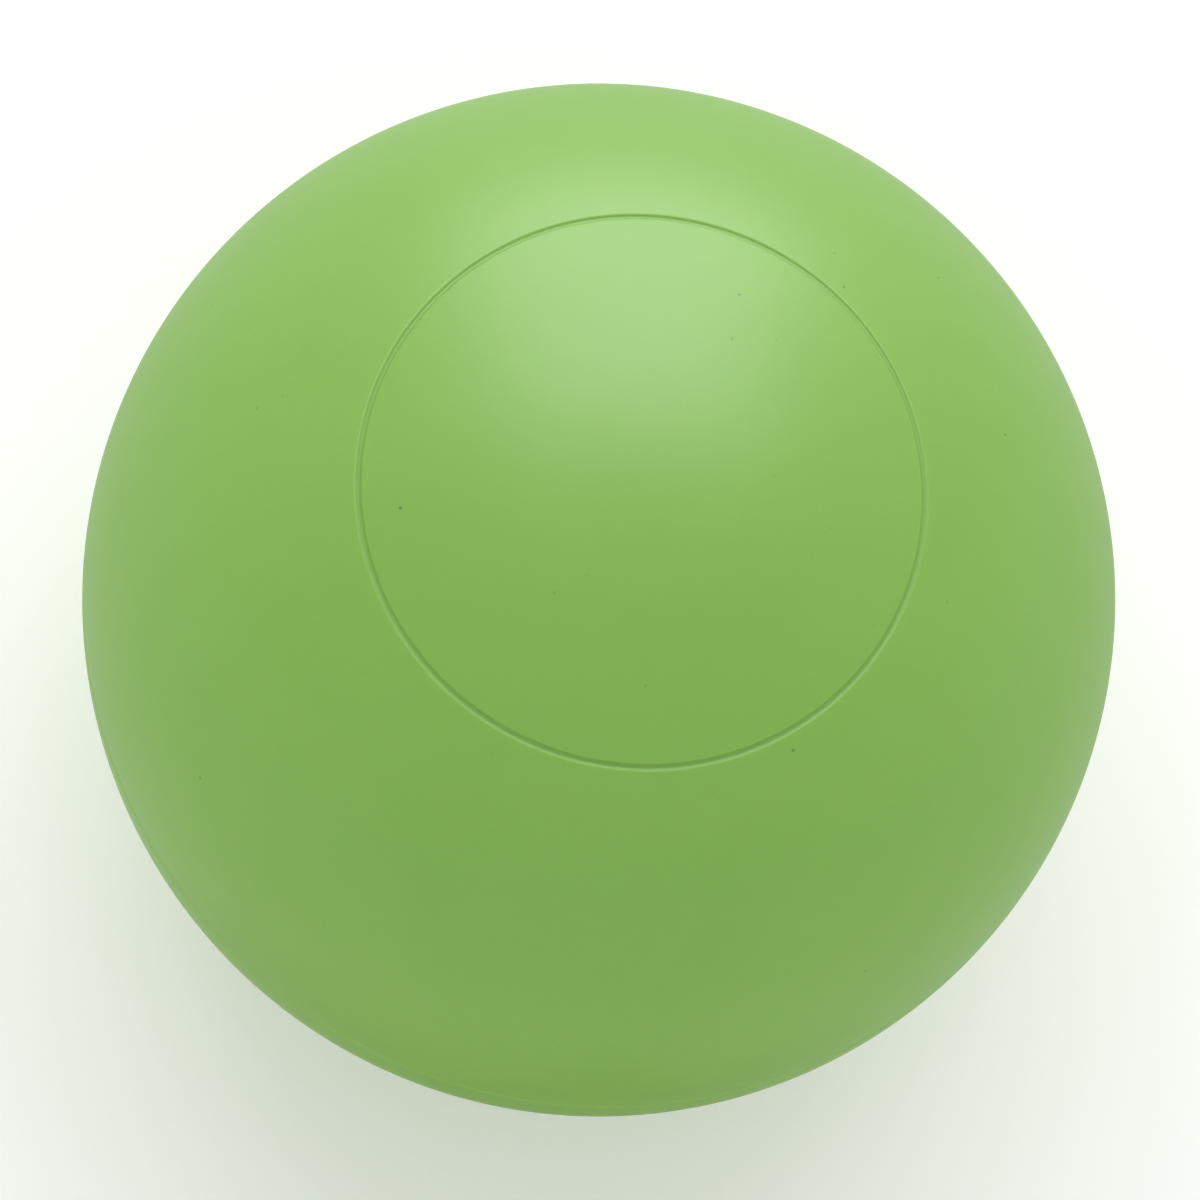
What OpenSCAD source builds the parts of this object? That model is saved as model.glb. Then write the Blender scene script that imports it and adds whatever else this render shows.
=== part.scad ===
// Lacrosse ball: a solid rubber core inside two moulded rubber cover halves.
// The origin is the middle of the ball, and +Z runs along the mould axis, through the middle of
// the face that carries the ring. The cover halves meet at the parting line, in the plane z = 0.

/* [Ball] */
// Outside diameter of the ball
ball_d = 63.5; // [58:0.1:70]

/* [Core and cover] */
// Thickness of the cover halves
cover_t = 6.3; // [3:0.1:12]
// Bond line between the core and the cover halves
bond_line = 0.05; // [0.02:0.01:0.3]

/* [Ring] */
// Diameter of the debossed ring, between the middles of its groove
ring_d = 33.7; // [16:0.1:44]
// Width of the groove where it breaks the surface of the ball
groove_w = 0.4; // [0.35:0.05:1]
// Depth of the groove below the surface of the ball
groove_depth = 0.18; // [0.1:0.01:0.25]
// Radius that softens each lip of the groove
lip_r = 0.2; // [0.05:0.01:0.3]

/* [Parting line] */
// Radius that softens the outer rim of each cover half
rim_r = 0.08; // [0.05:0.01:0.4]

/* [Colours] */
// Rubber of the cover halves
cover_colour = "#8dbc60";
// Rubber of the core
core_colour = "#9aa583";

/* [Hidden] */
// Fineness of the drawn curves
$fa = 2;
$fs = 0.05;

// How far a cut runs past the surface that it opens
cut_over = 1;
// How far a rounding circle breaks through the surfaces that it touches, to leave no sliver there
touch_over = 0.0002;
ball_r = ball_d / 2;
// The core fills what the cover and the bond line leave
cover_bore_r = ball_r - cover_t;
core_r = cover_bore_r - bond_line;

// The groove is part of a circle, which meets the ball at the groove's width and reaches its depth
groove_r = (pow(groove_w / 2, 2) + pow(groove_depth, 2)) / (2 * groove_depth);
groove_centre_r = ball_r + groove_r - groove_depth;
// Angle at the middle of the ball from its equator up to the ring
ring_rise = acos(ring_d / ball_d);

// Each lip is a circle that touches the ball from inside and the groove from outside
lip_centre_r = ball_r - lip_r;
lip_reach = groove_r + lip_r;
// Angle at the middle of the ball between the groove and the middle of a lip's circle
lip_swing = acos(
    (pow(groove_centre_r, 2) + pow(lip_centre_r, 2) - pow(lip_reach, 2))
    / (2 * groove_centre_r * lip_centre_r)
);

// Each rim is a circle that touches the ball from inside and the parting plane from above
rim_centre_r = ball_r - rim_r;
rim_rise = asin(rim_r / rim_centre_r);

// Point of the section at a distance from the middle of the ball and an angle above its equator
function at(r, rise) = r * [cos(rise), sin(rise)];

// What a rounding circle leaves of a corner: the corner's outline without the circle
module corner_waste(outline, centre, r) {
    difference() {
        polygon(outline);
        translate(centre)
            circle(r = r + touch_over);
    }
}

// Section of the ring's groove, cut square to the surface of the ball, with both lips softened
module groove_section() {
    groove_centre = at(groove_centre_r, ring_rise);
    above_groove = at(groove_centre_r + cut_over, ring_rise);
    translate(groove_centre)
        circle(r = groove_r);
    for (side = [-1, 1]) {
        lip_rise = ring_rise + side * lip_swing;
        lip_centre = at(lip_centre_r, lip_rise);
        above_lip = at(groove_centre_r + cut_over, lip_rise);
        corner_waste([lip_centre, above_lip, above_groove, groove_centre], lip_centre, lip_r);
    }
}

// Section of a cover half: a thick shell that stands on the parting plane, its outer rim softened
module cover_section() {
    rim_centre = at(rim_centre_r, rim_rise);
    below_rim = [rim_centre.x, -cut_over];
    outside_rim = [ball_r + cut_over, -cut_over];
    above_rim = at(ball_r + cut_over, rim_rise);
    difference() {
        intersection() {
            circle(r = ball_r);
            square(ball_d);
        }
        circle(r = cover_bore_r);
        corner_waste([rim_centre, below_rim, outside_rim, above_rim], rim_centre, rim_r);
    }
}

// Solid core, which gives the ball its weight and bounce
module core() {
    color(core_colour)
        sphere(r = core_r);
}

// Upper cover half, with the ring round the middle of its face
module ringed_cover() {
    color(cover_colour)
        rotate_extrude()
            difference() {
                cover_section();
                groove_section();
            }
}

// Lower cover half, smooth all over
module plain_cover() {
    color(cover_colour)
        mirror([0, 0, 1])
            rotate_extrude()
                cover_section();
}

core();
ringed_cover();
plain_cover();
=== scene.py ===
# Lacrosse ball: models the two moulded cover halves, finishes the rubber and lights it for a photo.
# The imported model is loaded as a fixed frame, and every piece takes its place and size from it.
import math

import bpy
from bpy.props import FloatProperty, FloatVectorProperty, IntProperty, PointerProperty
from mathutils import Matrix, Vector


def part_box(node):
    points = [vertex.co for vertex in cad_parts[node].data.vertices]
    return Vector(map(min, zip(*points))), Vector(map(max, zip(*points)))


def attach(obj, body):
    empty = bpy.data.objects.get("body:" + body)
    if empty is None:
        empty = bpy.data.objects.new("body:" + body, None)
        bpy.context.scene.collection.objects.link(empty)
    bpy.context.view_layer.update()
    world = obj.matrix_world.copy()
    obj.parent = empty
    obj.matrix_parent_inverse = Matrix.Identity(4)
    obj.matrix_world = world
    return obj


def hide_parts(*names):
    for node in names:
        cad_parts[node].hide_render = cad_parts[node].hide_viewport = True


bl_info = {
    "name": "Lacrosse Ball",
    "version": (1, 0, 0),
    "blender": (4, 5, 0),
    "location": "3D View > Sidebar > Lacrosse Ball",
    "description": "Models a lacrosse ball's cover halves, finishes its rubber and lights it for a photo",
    "category": "Add Mesh",
}

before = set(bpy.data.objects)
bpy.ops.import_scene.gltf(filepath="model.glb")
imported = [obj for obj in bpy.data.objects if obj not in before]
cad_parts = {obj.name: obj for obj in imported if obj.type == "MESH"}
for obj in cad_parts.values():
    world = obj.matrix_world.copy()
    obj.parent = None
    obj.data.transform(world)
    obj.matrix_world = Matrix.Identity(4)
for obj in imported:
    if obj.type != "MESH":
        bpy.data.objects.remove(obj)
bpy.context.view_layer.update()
# The pole of the ringed half is one radius above the middle of the ball
BALL_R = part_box("ringed_cover")[1].z
CORE_LOW, CORE_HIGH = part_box("core")

MM = 0.001
ORIGIN = (0, 0, 0)
MOULD_AXIS = (0, 0, 1)
# The section of a solid of revolution is drawn in the plane y = 0, and its arcs turn about this axis
SECTION_AXIS = (0, 1, 0)
# Points that are nearer than this to each other are one point
SAME_POINT = MM / 1000
# Faces that meet at less than this angle are shaded as one smooth surface
SMOOTH_ANGLE = math.radians(40)

# Steps along each arc of a cover half's section, from its pole to its rim and back along its bore
FACE_STEPS = 44
LIP_STEPS = 6
GROOVE_STEPS = 14
SIDE_STEPS = 60
DOME_STEPS = 90
RIM_STEPS = 8
BORE_STEPS = 48

# Flat radius of the paper sweep, the radius that it curves up with, and its wall above that
SWEEP_R = 1.4
SWEEP_CURVE_R = 0.6
SWEEP_WALL = 0.6
SWEEP_STEPS = 24
SWEEP_STEPS_ROUND = 96

# The patch of the room's floor that is shaded: the elevation of its middle, the cosine of the angle
# from there to its edge, and the share of the room's light that it loses in its middle
SHADE_ELEVATION = -67
SHADE_EDGE = 0.84
SHADE_SHARE = 0.8

# Way from the ball to the camera, and the way that is up in the photo
TO_CAMERA = Vector((-0.0926, -0.2426, 0.9657)).normalized()
PHOTO_UP = Vector((-0.0232, 0.9701, 0.2415))
# Distance of the camera, in radii of the ball
CAMERA_RADII = 21
# Width of the camera's sensor and focal length of its lens, in millimetres
SENSOR_W = 36
FOCAL_LENGTH = 325.1
# Sideways shift of the lens, as a share of the frame's width
LENS_SHIFT_SHARE = 0.00105
# Nearest and furthest that the camera sees
NEAR_CLIP = 0.05
FAR_CLIP = 10


class BallSizes(bpy.types.PropertyGroup):
    """Sizes of the ball and its pieces"""

    ball_d: FloatProperty(
        name="Ball Diameter",
        description="Outside diameter of the ball",
        default=2 * BALL_R,
        min=40 * MM,
        unit="LENGTH",
        precision=5,
    )
    core_d: FloatProperty(
        name="Core Diameter",
        description="Diameter of the solid core",
        default=CORE_HIGH.z - CORE_LOW.z,
        min=10 * MM,
        unit="LENGTH",
        precision=5,
    )
    bond_line: FloatProperty(
        name="Bond Line",
        description="Thickness of the bond between the core and the cover halves",
        default=0.05 * MM,
        min=0,
        unit="LENGTH",
        precision=6,
    )
    ring_d: FloatProperty(
        name="Ring Diameter",
        description="Diameter of the debossed ring, between the middles of its groove",
        default=33.7 * MM,
        min=5 * MM,
        unit="LENGTH",
        precision=5,
    )
    groove_w: FloatProperty(
        name="Groove Width",
        description="Width of the ring's groove where it breaks the surface of the ball",
        default=0.4 * MM,
        min=0.1 * MM,
        unit="LENGTH",
        precision=6,
    )
    groove_depth: FloatProperty(
        name="Groove Depth",
        description="Depth of the ring's groove below the surface of the ball",
        default=0.18 * MM,
        min=0.05 * MM,
        unit="LENGTH",
        precision=6,
    )
    lip_r: FloatProperty(
        name="Lip Radius",
        description="Radius that softens each lip of the groove",
        default=0.2 * MM,
        min=0.01 * MM,
        unit="LENGTH",
        precision=6,
    )
    rim_r: FloatProperty(
        name="Rim Radius",
        description="Radius that softens the outer rim of each cover half at the parting line",
        default=0.08 * MM,
        min=0.01 * MM,
        unit="LENGTH",
        precision=6,
    )
    steps_round: IntProperty(
        name="Steps Round the Ball",
        description="Faces in each row round the mould axis",
        default=288,
        min=24,
    )


class RubberFinish(bpy.types.PropertyGroup):
    """Colours and surface of the rubber"""

    cover: FloatVectorProperty(
        name="Cover",
        description="Rubber of the cover halves",
        subtype="COLOR",
        default=(0.24, 0.481, 0.085),
        min=0,
        max=1,
    )
    cloud: FloatVectorProperty(
        name="Clouding",
        description="Rubber of the cover where the pigment is a little denser",
        subtype="COLOR",
        default=(0.228, 0.468, 0.077),
        min=0,
        max=1,
    )
    speck: FloatVectorProperty(
        name="Specks",
        description="Dark specks of pigment and dust in the cover",
        subtype="COLOR",
        default=(0.045, 0.1, 0.03),
        min=0,
        max=1,
    )
    core: FloatVectorProperty(
        name="Core",
        description="Rubber of the core",
        subtype="COLOR",
        default=(0.33, 0.37, 0.24),
        min=0,
        max=1,
    )
    crumb: FloatVectorProperty(
        name="Crumbs",
        description="Darker crumbs of rubber in the core",
        subtype="COLOR",
        default=(0.16, 0.19, 0.12),
        min=0,
        max=1,
    )
    cover_roughness: FloatProperty(
        name="Cover Roughness",
        description="Roughness of the moulded cover",
        subtype="FACTOR",
        default=0.4,
        min=0,
        max=1,
    )


class StudioSetup(bpy.types.PropertyGroup):
    """Strength of each light and colour of the paper sweep"""

    paper: FloatVectorProperty(
        name="Paper",
        description="Seamless paper that the ball stands on",
        subtype="COLOR",
        default=(0.9, 0.9, 0.89),
        min=0,
        max=1,
    )
    key: FloatProperty(
        name="Key Panel",
        description="Radiance of the wide panel beyond the ball",
        default=0.5,
        min=0,
    )
    high: FloatProperty(
        name="High Panel",
        description="Radiance of the panel above the key panel",
        default=2.0,
        min=0,
    )
    softbox: FloatProperty(
        name="Softbox",
        description="Radiance of the softbox whose reflection is the highlight",
        default=4.2,
        min=0,
    )
    room: FloatProperty(
        name="Room",
        description="Radiance of the plain walls all round",
        default=0.67,
        min=0,
    )
    glow: FloatProperty(
        name="Paper Glow",
        description="Radiance of the light that shines through the paper from below",
        default=0.15,
        min=0,
    )


def deselect_all():
    """Selects nothing, so that an operator acts only on what is selected next."""
    if bpy.context.object and bpy.context.object.mode != "OBJECT":
        bpy.ops.object.mode_set(mode="OBJECT")
    bpy.ops.object.select_all(action="DESELECT")


def start_section(x, z):
    """Starts the section of a solid of revolution at one point of it, and stays in edit mode."""
    deselect_all()
    bpy.ops.mesh.primitive_plane_add(size=MM, location=ORIGIN)
    bpy.ops.object.mode_set(mode="EDIT")
    bpy.ops.mesh.merge(type="CENTER")
    bpy.ops.transform.translate(value=(x, 0, z))


def draw_line(x, z):
    """Draws a straight line of the section from its last point, by this much across and up."""
    bpy.ops.mesh.extrude_region_move(TRANSFORM_OT_translate={"value": (x, 0, z)})


def draw_arc(centre, turn, steps):
    """Draws an arc of the section from its last point. A turn above 0 goes from +Z towards +X."""
    # Spin turns the other way with no window
    bpy.ops.mesh.spin(
        steps=steps,
        angle=-turn,
        center=(centre[0], 0, centre[1]),
        axis=SECTION_AXIS,
    )


def revolve(steps_round, name, material, facing_in=False):
    """Turns the section once round the mould axis and makes it one smooth piece."""
    bpy.ops.mesh.select_all(action="SELECT")
    bpy.ops.mesh.spin(
        steps=steps_round,
        angle=math.tau,
        center=ORIGIN,
        axis=MOULD_AXIS,
        use_auto_merge=True,
    )
    bpy.ops.mesh.select_all(action="SELECT")
    bpy.ops.mesh.remove_doubles(threshold=SAME_POINT)
    bpy.ops.mesh.normals_make_consistent(inside=facing_in)
    bpy.ops.object.mode_set(mode="OBJECT")
    bpy.ops.object.shade_smooth_by_angle(angle=SMOOTH_ANGLE)
    piece = bpy.context.object
    piece.name = name
    piece.data.name = name
    piece.data.materials.append(material)
    return piece


def at(r, rise):
    """Point of the section at a distance from the middle of the ball and an angle above z = 0."""
    return (r * math.cos(rise), r * math.sin(rise))


def draw_cover(sizes, side, with_ring):
    """Draws a cover half's section from its pole round its rim and back to the pole of its bore."""
    ball_r = sizes.ball_d / 2
    bore_r = sizes.core_d / 2 + sizes.bond_line
    # Each rim is a circle that touches the ball from inside and the parting plane
    rim_centre_r = ball_r - sizes.rim_r
    rim_rise = math.asin(sizes.rim_r / rim_centre_r)
    pole = math.pi / 2

    def arc(centre, turn, steps):
        """Draws an arc of the upper half, or its mirror image for the lower half."""
        draw_arc((centre[0], side * centre[1]), side * turn, steps)

    start_section(0, side * ball_r)
    above_rim = pole
    if with_ring:
        # The groove is part of a circle, and each lip's circle touches it and the ball
        groove_r = (sizes.groove_w ** 2 / 4 + sizes.groove_depth ** 2) / (2 * sizes.groove_depth)
        groove_centre_r = ball_r + groove_r - sizes.groove_depth
        ring_rise = math.acos(sizes.ring_d / sizes.ball_d)
        lip_centre_r = ball_r - sizes.lip_r
        lip_reach = groove_r + sizes.lip_r
        lip_swing = math.acos(
            (groove_centre_r ** 2 + lip_centre_r ** 2 - lip_reach ** 2)
            / (2 * groove_centre_r * lip_centre_r)
        )
        outward = groove_centre_r - lip_centre_r * math.cos(lip_swing)
        lip_turn = pole - math.asin(outward / lip_reach) + lip_swing
        arc(ORIGIN, pole - ring_rise - lip_swing, FACE_STEPS)
        arc(at(lip_centre_r, ring_rise + lip_swing), lip_turn, LIP_STEPS)
        arc(at(groove_centre_r, ring_rise), 2 * (lip_swing - lip_turn), GROOVE_STEPS)
        arc(at(lip_centre_r, ring_rise - lip_swing), lip_turn, LIP_STEPS)
        above_rim = ring_rise - lip_swing
    arc(ORIGIN, above_rim - rim_rise, SIDE_STEPS if with_ring else DOME_STEPS)
    arc(at(rim_centre_r, rim_rise), pole + rim_rise, RIM_STEPS)
    draw_line(bore_r - at(rim_centre_r, rim_rise)[0], 0)
    arc(ORIGIN, -pole, BORE_STEPS)


def finish_cover(sizes, rubber, side, with_ring, node):
    """Makes a cover half that stands for its node."""
    draw_cover(sizes, side, with_ring)
    piece = revolve(sizes.steps_round, node + "_moulded", cover_rubber(rubber))
    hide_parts(node)
    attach(piece, "root")


class Value:
    """The value of a node's socket, which ordinary maths can be done on."""

    def __init__(self, nodes, socket):
        self.nodes = nodes
        self.socket = socket

    def also(self, output):
        """Another output of the same node."""
        return Value(self.nodes, self.socket.node.outputs[output])

    def __add__(self, other):
        return self.nodes.maths("ADD", self, other)

    def __sub__(self, other):
        return self.nodes.maths("SUBTRACT", self, other)

    def __mul__(self, other):
        return self.nodes.maths("MULTIPLY", self, other)

    def __rsub__(self, other):
        return self.nodes.maths("SUBTRACT", other, self)

    def __abs__(self):
        return self.nodes.maths("ABSOLUTE", self)

    __radd__ = __add__
    __rmul__ = __mul__


class Nodes:
    """The nodes of a material or of the room, which are cleared first."""

    def __init__(self, tree):
        self.tree = tree
        self.tree.nodes.clear()

    def node(self, kind, settings=None, inputs=None, output=0):
        """Adds a node: its settings first, then the values or links of its sockets."""
        made = self.tree.nodes.new(kind)
        for name, value in (settings or {}).items():
            setattr(made, name, value)
        by_identifier = {socket.identifier: socket for socket in made.inputs}
        for name, value in (inputs or {}).items():
            socket = by_identifier.get(name) or made.inputs[name]
            if isinstance(value, Value):
                self.tree.links.new(value.socket, socket)
            else:
                socket.default_value = value
        if not made.outputs:
            return None
        by_identifier = {socket.identifier: socket for socket in made.outputs}
        return Value(self, by_identifier.get(output) or made.outputs[output])

    def maths(self, operation, first, second=0.0):
        """A sum, difference or product of two values, or one value without its sign."""
        return self.node(
            "ShaderNodeMath",
            {"operation": operation},
            {"Value": first, "Value_001": second},
        )

    def ramp(self, value, start, end):
        """0 where the value is at the start, rising smoothly to 1 at the end."""
        return self.node(
            "ShaderNodeMapRange",
            {"interpolation_type": "SMOOTHSTEP"},
            {"Value": value, "From Min": start, "From Max": end},
            "Result",
        )


# A dot is fully dark up to this share of its radius
DOT_DARK_SHARE = 0.35


class Finish(Nodes):
    """The nodes of one material."""

    def __init__(self, name):
        self.material = bpy.data.materials.new(name)
        self.material.use_nodes = True
        super().__init__(self.material.node_tree)
        # The place on the piece, in millimetres
        here = self.node("ShaderNodeTexCoord", output="Object")
        self.place = self.node(
            "ShaderNodeVectorMath",
            {"operation": "SCALE"},
            {"Vector": here, "Scale": 1 / MM},
        )

    def mix(self, share, first, second):
        """The first colour, or the second where the share is 1."""
        return self.node(
            "ShaderNodeMix",
            {"data_type": "RGBA"},
            {"Factor_Float": share, "A_Color": first, "B_Color": second},
            "Result_Color",
        )

    def noise(self, size, detail=2.0, warp=0.0):
        """Soft noise with lumps of this size in millimetres, about 0.5 on average."""
        return self.node(
            "ShaderNodeTexNoise",
            None,
            {"Vector": self.place, "Scale": 1 / size, "Detail": detail, "Distortion": warp},
            "Fac",
        )

    def dots(self, spacing, radius):
        """Sparse round dots: 1 in the middle of each, and 0 beyond its radius in millimetres."""
        cell = self.node(
            "ShaderNodeTexVoronoi",
            {"feature": "F1"},
            {"Vector": self.place, "Scale": 1 / spacing},
            "Distance",
        )
        # Each cell draws its own strength, so that few of the dots are dark
        share = self.node("ShaderNodeSeparateColor", None, {"Color": cell.also("Color")})
        beyond = self.ramp(cell * spacing, radius * DOT_DARK_SHARE, radius)
        return (1 - beyond) * self.ramp(share, 0.0, 1.0)

    def bump(self, relief, strength=1.0):
        """Normal of a surface with this relief, in millimetres."""
        return self.node(
            "ShaderNodeBump",
            None,
            {"Strength": strength, "Distance": MM, "Height": relief},
            "Normal",
        )

    def surface(self, settings):
        """Ends the material in one Principled shader with these values and links."""
        shader = self.node("ShaderNodeBsdfPrincipled", None, settings, "BSDF")
        self.node("ShaderNodeOutputMaterial", None, {"Surface": shader})
        return self.material


# The cover's specks and relief, in millimetres
SPECK_SPACING = 3.4
SPECK_R = 0.15
FINE_SPECK_SPACING = 1.6
FINE_SPECK_R = 0.1
GRAIN_HEIGHT = 0.0008
WAVE_HEIGHT = 0.004
# The flash of the parting line is buffed off in a narrow band. Its strength falls from the first
# distance to the second, in millimetres, and its edge is this ragged
BUFFED_NEAR = 0.7
BUFFED_FAR = 1.3
BUFFED_RAGGED = 0.5
# How much of each darker colour shows
CLOUD_SHARE = 0.5
SPECK_SHARE = 0.8
FINE_SPECK_SHARE = 0.25
# How much smudges and buffing dull the rubber, and about the mean of both, which is taken off again
SMUDGE_ROUGHNESS = 0.05
BUFFED_ROUGHNESS = 0.08
MEAN_DULLING = 0.02


def cover_rubber(rubber):
    """Matte moulded rubber: faint clouding, dark specks, a fine grain and a buffed parting line."""
    name = "moulded_cover_rubber"
    if name in bpy.data.materials:
        return bpy.data.materials[name]
    finish = Finish(name)
    height = finish.node("ShaderNodeSeparateXYZ", None, {"Vector": finish.place}, "Z")
    clouding = finish.ramp(finish.noise(size=9, detail=3, warp=0.4), start=0.35, end=0.7)
    smudges = finish.noise(size=22, detail=2, warp=1.0)
    grain = finish.noise(size=0.35, detail=2)
    specks = finish.dots(SPECK_SPACING, SPECK_R)
    fine_specks = finish.dots(FINE_SPECK_SPACING, FINE_SPECK_R)
    ragged_height = abs(height) + finish.noise(size=1.5, detail=2) * BUFFED_RAGGED
    buffed = 1 - finish.ramp(ragged_height, BUFFED_NEAR, BUFFED_FAR)

    colour = finish.mix(clouding * CLOUD_SHARE, (*rubber.cover, 1), (*rubber.cloud, 1))
    dark = specks * SPECK_SHARE + fine_specks * FINE_SPECK_SHARE
    colour = finish.mix(dark, colour, (*rubber.speck, 1))
    roughness = rubber.cover_roughness - MEAN_DULLING + smudges * SMUDGE_ROUGHNESS
    relief = grain * GRAIN_HEIGHT + finish.noise(size=4, detail=1) * WAVE_HEIGHT
    return finish.surface(
        {
            "Base Color": colour,
            "Roughness": roughness + buffed * BUFFED_ROUGHNESS,
            "Normal": finish.bump(relief),
            "IOR": 1.45,
            "Subsurface Weight": 0.6,
            "Subsurface Radius": (0.8, 1.0, 0.4),
            "Subsurface Scale": 0.4 * MM,
        }
    )


# How much of the crumbs' colour shows in crumbs and in clouds
CRUMB_SHARE = 0.7
CORE_CLOUD_SHARE = 0.2
# The core's relief, in millimetres
CRUMB_HEIGHT = 0.03
CORE_GRAIN_HEIGHT = 0.01
# Roughness of the core, and how much more the crumbs have
CORE_ROUGHNESS = 0.7
CRUMB_ROUGHNESS = 0.12


def core_rubber(rubber):
    """Dull rubber with darker crumbs in it, which the cover hides."""
    finish = Finish("crumb_core_rubber")
    crumbs = finish.ramp(finish.noise(size=1.2, detail=3, warp=0.8), start=0.52, end=0.66)
    clouding = finish.noise(size=12, detail=3)
    dark = crumbs * CRUMB_SHARE + clouding * CORE_CLOUD_SHARE
    relief = crumbs * CRUMB_HEIGHT + finish.noise(size=0.4, detail=2) * CORE_GRAIN_HEIGHT
    return finish.surface(
        {
            "Base Color": finish.mix(dark, (*rubber.core, 1), (*rubber.crumb, 1)),
            "Roughness": CORE_ROUGHNESS + crumbs * CRUMB_ROUGHNESS,
            "Normal": finish.bump(relief),
            "IOR": 1.5,
        }
    )


# Height of the paper's tooth, in millimetres
TOOTH_HEIGHT = 0.02


def white_paper(paper, glow):
    """Plain seamless paper with a faint tooth, lit a little from below."""
    finish = Finish("sweep_paper")
    tooth = finish.noise(size=0.8, detail=2) * TOOTH_HEIGHT
    return finish.surface(
        {
            "Base Color": (*paper, 1),
            "Roughness": 0.85,
            "Normal": finish.bump(tooth, strength=0.2),
            "Emission Color": (1, 1, 1, 1),
            "Emission Strength": glow,
        }
    )


def direction(azimuth, elevation):
    """Unit vector from the ball. Azimuth 0 is towards -Y, and 90 towards +X."""
    around = math.radians(azimuth)
    up = math.radians(elevation)
    return Vector(
        (math.sin(around) * math.cos(up), -math.cos(around) * math.cos(up), math.sin(up))
    )


def plain_room(radiance):
    """Room with plain white walls. Its floor is shaded below the ball, where only gloss sees it."""
    world = bpy.data.worlds.new("room")
    world.use_nodes = True
    nodes = Nodes(world.node_tree)
    towards = nodes.node("ShaderNodeTexCoord", output="Generated")
    nearness = nodes.node(
        "ShaderNodeVectorMath",
        {"operation": "DOT_PRODUCT"},
        {"Vector": towards, "Vector_001": direction(azimuth=0, elevation=SHADE_ELEVATION)},
        "Value",
    )
    shade = nodes.ramp(nearness, SHADE_EDGE, 1.0) * (SHADE_SHARE * radiance)
    walls = nodes.node(
        "ShaderNodeBackground",
        None,
        {"Color": (1, 1, 1, 1), "Strength": radiance - shade},
    )
    nodes.node("ShaderNodeOutputWorld", None, {"Surface": walls})
    return world


def panel_light(name, towards, distance, width, height, radiance):
    """Hangs a softbox that faces the ball. Its power gives each part of it this radiance."""
    light = bpy.data.lights.new(name, "AREA")
    light.shape = "RECTANGLE"
    light.size = width
    light.size_y = height
    light.energy = radiance * math.pi * width * height
    lamp = bpy.data.objects.new(name, light)
    bpy.context.scene.collection.objects.link(lamp)
    lamp.location = towards * distance
    lamp.rotation_euler = (-towards).to_track_quat("-Z", "Y").to_euler()
    lamp.visible_camera = False
    return lamp


def lay_sweep(ball_r, studio):
    """Lays the round paper sweep: a flat floor under the ball that curves up into a low wall."""
    start_section(0, -ball_r)
    draw_line(SWEEP_R, 0)
    draw_arc((SWEEP_R, SWEEP_CURVE_R - ball_r), -math.pi / 2, SWEEP_STEPS)
    draw_line(0, SWEEP_WALL)
    paper = white_paper(studio.paper, studio.glow)
    sweep = revolve(SWEEP_STEPS_ROUND, "paper_sweep", paper, facing_in=True)
    # Keeps the white paper out of the gloss at the ball's rim
    sweep.visible_glossy = False


def hang_lights(studio):
    """Hangs two soft panels beyond the ball, and the softbox that only its gloss shows."""
    panel_light(
        "key_panel",
        direction(azimuth=178, elevation=33),
        distance=1.0,
        width=1.7,
        height=1.1,
        radiance=studio.key,
    )
    panel_light(
        "high_panel",
        direction(azimuth=178, elevation=62),
        distance=1.0,
        width=1.0,
        height=0.45,
        radiance=studio.high,
    )
    softbox = panel_light(
        "softbox",
        direction(azimuth=176, elevation=30),
        distance=0.98,
        width=0.95,
        height=1.12,
        radiance=studio.softbox,
    )
    softbox.visible_diffuse = False


def place_camera(ball_r):
    """Places the camera where the photo was taken from, turned as the photo is."""
    lens = bpy.data.cameras.new("camera")
    lens.sensor_width = SENSOR_W
    lens.lens = FOCAL_LENGTH
    lens.shift_x = LENS_SHIFT_SHARE
    lens.clip_start = NEAR_CLIP
    lens.clip_end = FAR_CLIP
    camera = bpy.data.objects.new("camera", lens)
    bpy.context.scene.collection.objects.link(camera)
    right = PHOTO_UP.cross(TO_CAMERA).normalized()
    turned = Matrix((right, TO_CAMERA.cross(right), TO_CAMERA)).transposed()
    camera.location = TO_CAMERA * (CAMERA_RADII * ball_r)
    camera.rotation_euler = turned.to_euler()
    return camera


class LACROSSE_BALL_OT_ringed_cover(bpy.types.Operator):
    """Model the upper cover half, with the debossed ring round the middle of its face"""

    bl_idname = "lacrosse_ball.ringed_cover"
    bl_label = "Ringed Cover"
    bl_options = {"REGISTER", "UNDO"}

    def execute(self, context):
        scene = context.scene
        finish_cover(scene.ball_sizes, scene.rubber_finish, 1, True, "ringed_cover")
        return {"FINISHED"}


class LACROSSE_BALL_OT_plain_cover(bpy.types.Operator):
    """Model the lower cover half, which is smooth all over"""

    bl_idname = "lacrosse_ball.plain_cover"
    bl_label = "Plain Cover"
    bl_options = {"REGISTER", "UNDO"}

    def execute(self, context):
        scene = context.scene
        finish_cover(scene.ball_sizes, scene.rubber_finish, -1, False, "plain_cover")
        return {"FINISHED"}


class LACROSSE_BALL_OT_core(bpy.types.Operator):
    """Give the solid core its rubber"""

    bl_idname = "lacrosse_ball.core"
    bl_label = "Core"
    bl_options = {"REGISTER", "UNDO"}

    def execute(self, context):
        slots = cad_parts["core"].material_slots
        material = core_rubber(context.scene.rubber_finish)
        for slot in slots:
            slot.material = material
        return {"FINISHED"}


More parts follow.
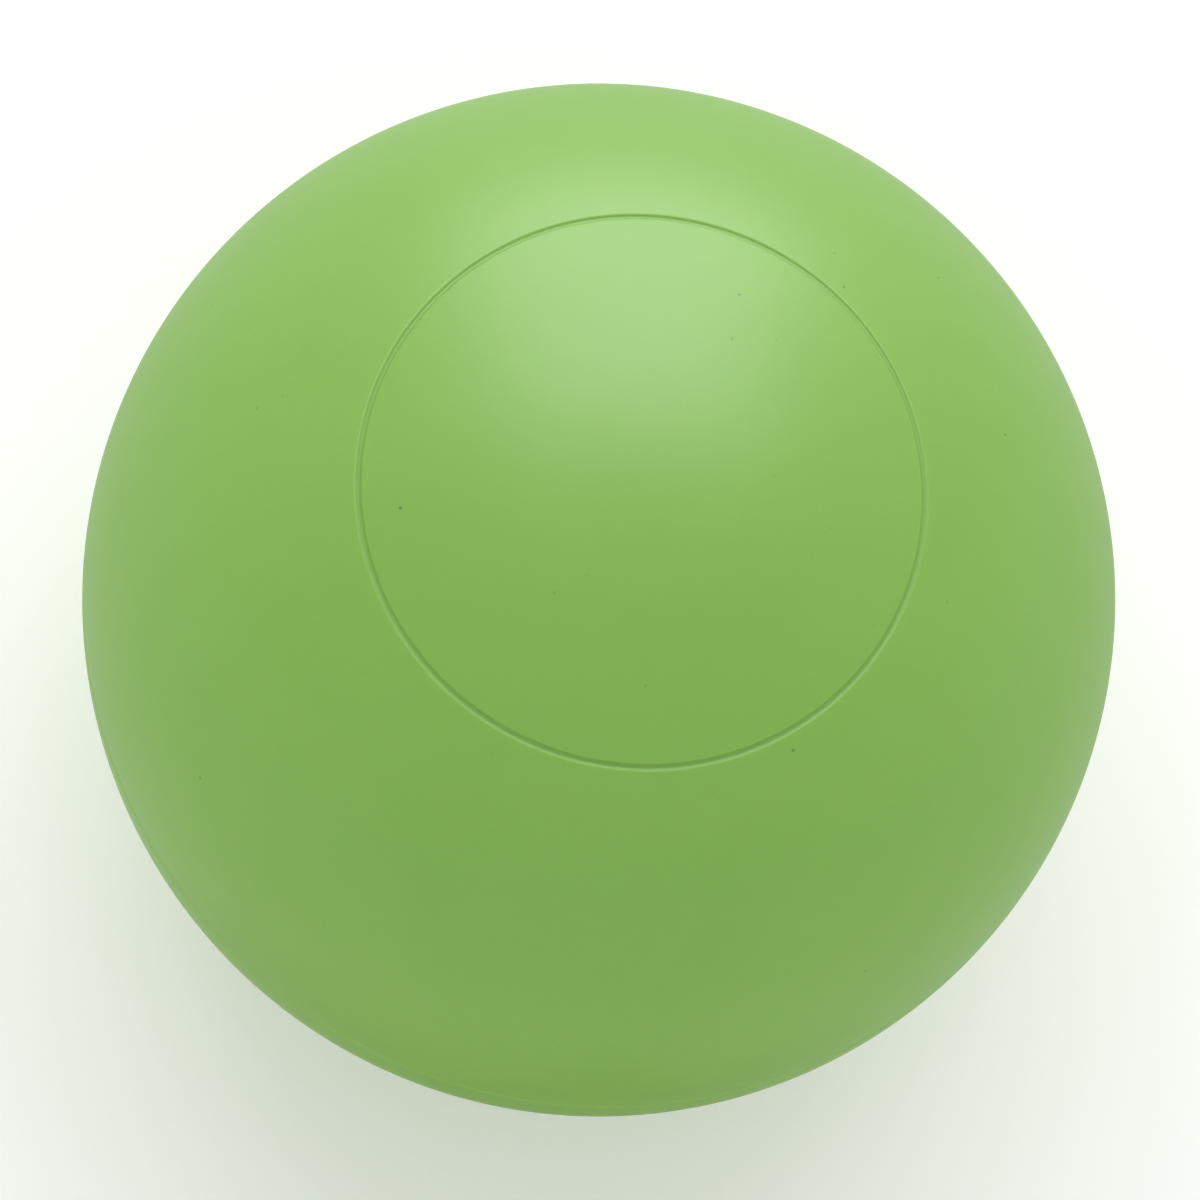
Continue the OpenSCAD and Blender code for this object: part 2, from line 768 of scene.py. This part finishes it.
class LACROSSE_BALL_OT_stage(bpy.types.Operator):
    """Set up the paper sweep, the soft lights and the camera"""

    bl_idname = "lacrosse_ball.stage"
    bl_label = "Photo Studio"
    bl_options = {"REGISTER", "UNDO"}

    def execute(self, context):
        scene = context.scene
        studio = scene.studio_setup
        ball_r = scene.ball_sizes.ball_d / 2
        lay_sweep(ball_r, studio)
        hang_lights(studio)
        scene.world = plain_room(studio.room)
        scene.view_settings.view_transform = "Standard"
        scene.camera = place_camera(ball_r)
        return {"FINISHED"}


class LACROSSE_BALL_PT_sidebar(bpy.types.Panel):
    """Lists the ball's pieces, sizes and colours"""

    bl_idname = "LACROSSE_BALL_PT_sidebar"
    bl_label = "Lacrosse Ball"
    bl_space_type = "VIEW_3D"
    bl_region_type = "UI"
    bl_category = "Lacrosse Ball"

    def draw(self, context):
        scene = context.scene
        column = self.layout.column()
        for operator in OPERATORS:
            column.operator(operator.bl_idname)
        for group in (scene.ball_sizes, scene.rubber_finish, scene.studio_setup):
            box = self.layout.box()
            for name in group.bl_rna.properties.keys():
                if name not in ("rna_type", "name"):
                    box.prop(group, name)


OPERATORS = (
    LACROSSE_BALL_OT_ringed_cover,
    LACROSSE_BALL_OT_plain_cover,
    LACROSSE_BALL_OT_core,
    LACROSSE_BALL_OT_stage,
)
CLASSES = (BallSizes, RubberFinish, StudioSetup, *OPERATORS, LACROSSE_BALL_PT_sidebar)


def register():
    for made in CLASSES:
        bpy.utils.register_class(made)
    bpy.types.Scene.ball_sizes = PointerProperty(type=BallSizes)
    bpy.types.Scene.rubber_finish = PointerProperty(type=RubberFinish)
    bpy.types.Scene.studio_setup = PointerProperty(type=StudioSetup)


def unregister():
    del bpy.types.Scene.studio_setup
    del bpy.types.Scene.rubber_finish
    del bpy.types.Scene.ball_sizes
    for made in reversed(CLASSES):
        bpy.utils.unregister_class(made)


def main():
    """Makes every piece and the stage."""
    register()
    bpy.ops.lacrosse_ball.ringed_cover()
    bpy.ops.lacrosse_ball.plain_cover()
    bpy.ops.lacrosse_ball.core()
    bpy.ops.lacrosse_ball.stage()


if __name__ == "__main__":
    main()
